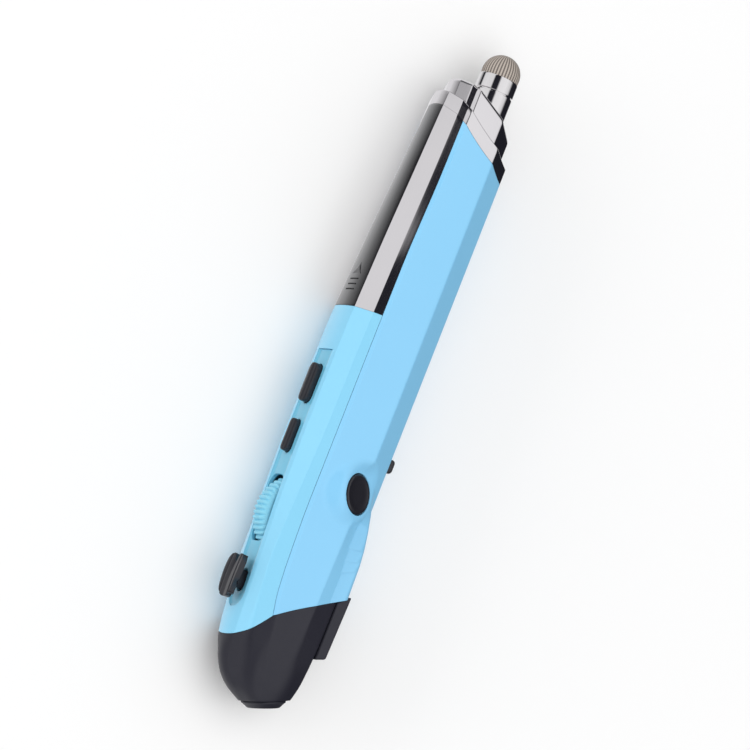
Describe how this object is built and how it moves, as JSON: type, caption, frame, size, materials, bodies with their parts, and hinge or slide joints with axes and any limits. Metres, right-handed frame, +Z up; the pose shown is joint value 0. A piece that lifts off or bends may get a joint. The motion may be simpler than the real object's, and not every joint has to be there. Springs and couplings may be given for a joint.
{
  "type": "wireless pen mouse with stylus end",
  "caption": "Faceted pen-shaped wireless mouse with optical sensor tip, scroll wheel, click rocker, page keys, slide-off battery cover and a stylus end.",
  "frame": {"origin": "middle of the pen's length, on the left side flat that it lies on", "axes": "+X along the pen towards the sensor tip, -Y towards the keys, +Z up from the side flat it lies on"},
  "size_m": [0.15, 0.026, 0.0208],
  "materials": {
    "shell_black": "satin",
    "shell_blue": "gloss",
    "strip_blue": "satin",
    "key_black": "gloss",
    "wheel_rubber": "matte",
    "chrome_trim": "polished",
    "panel_dark": "gloss",
    "stylus_metal": "polished",
    "stylus_fibre": "matte",
    "steel_part": "satin",
    "clear_lens": "clear",
    "board_green": "satin",
    "chip_black": "matte",
    "frame_grey": "matte",
    "cell_sleeve": "satin"
  },
  "bodies": {
    "pen_body": {"nose_shell": "shell_black", "sensor_foot": "shell_black", "sensor_lens": "clear_lens", "optical_sensor": "chip_black", "sensor_led": "clear_lens", "front_cover": "shell_blue", "rear_shell": "shell_blue", "key_strip": "strip_blue", "page_switches": "chip_black", "wheel_carrier": "frame_grey", "wheel_encoder": "chip_black", "rocker_pin": "steel_part", "rocker_posts": "frame_grey", "left_switch": "chip_black", "right_switch": "chip_black", "side_switch": "chip_black", "side_bracket": "board_green", "power_switch": "steel_part", "main_board": "board_green", "board_screws": "steel_part", "key_board": "board_green", "battery_cell": "cell_sleeve", "battery_tray": "frame_grey", "contact_plate": "steel_part", "contact_spring": "steel_part"},
    "cover": {"battery_cover": "panel_dark", "trim_left": "chrome_trim", "trim_right": "chrome_trim", "crown_ring": "chrome_trim", "end_cap": "chrome_trim", "stylus_tube": "stylus_metal", "stylus_ferrule": "stylus_metal", "stylus_tip": "stylus_fibre"},
    "wheel": {"scroll_wheel": "wheel_rubber", "wheel_axle": "steel_part"},
    "rocker": {"rocker_key": "key_black"},
    "page_up": {"page_up_key": "key_black"},
    "page_down": {"page_down_key": "key_black"},
    "side_key": {"side_button": "key_black"},
    "power_knob": {"power_slider": "key_black"},
    "receiver": {"receiver_body": "shell_black", "receiver_plug": "steel_part"}
  },
  "joints": [
    {"name": "cover_slide", "type": "slide", "parent": "pen_body", "child": "cover", "axis": [-1, 0, 0], "range_m": [0, 0.046]},
    {"name": "wheel_spin", "type": "hinge", "parent": "pen_body", "child": "wheel", "pos_m": [0.0346, -0.0032, 0.0095], "axis": [0, 0, 1], "continuous": true},
    {"name": "rocker_tilt", "type": "hinge", "parent": "pen_body", "child": "rocker", "pos_m": [0.0508, -0.0067, 0.0095], "axis": [1, 0, 0], "range_deg": [-5, 5], "stiffness_Nm_per_rad": 0.05},
    {"name": "page_up_press", "type": "slide", "parent": "pen_body", "child": "page_up", "axis": [0, 1, 0], "range_m": [0, 0.0005], "stiffness_N_per_m": 800, "springref_m": -0.0001},
    {"name": "page_down_press", "type": "slide", "parent": "pen_body", "child": "page_down", "axis": [0, 1, 0], "range_m": [0, 0.0005], "stiffness_N_per_m": 800, "springref_m": -0.0001},
    {"name": "side_press", "type": "slide", "parent": "pen_body", "child": "side_key", "axis": [0.1392, -0.3387, -0.9305], "range_m": [0, 0.0005], "stiffness_N_per_m": 800, "springref_m": -0.0001},
    {"name": "power_slide", "type": "slide", "parent": "pen_body", "child": "power_knob", "axis": [-1, 0, 0], "range_m": [0, 0.002]},
    {"name": "receiver_pull", "type": "slide", "parent": "pen_body", "child": "receiver", "axis": [1, 0, 0], "range_m": [0, 0.014]}
  ]
}
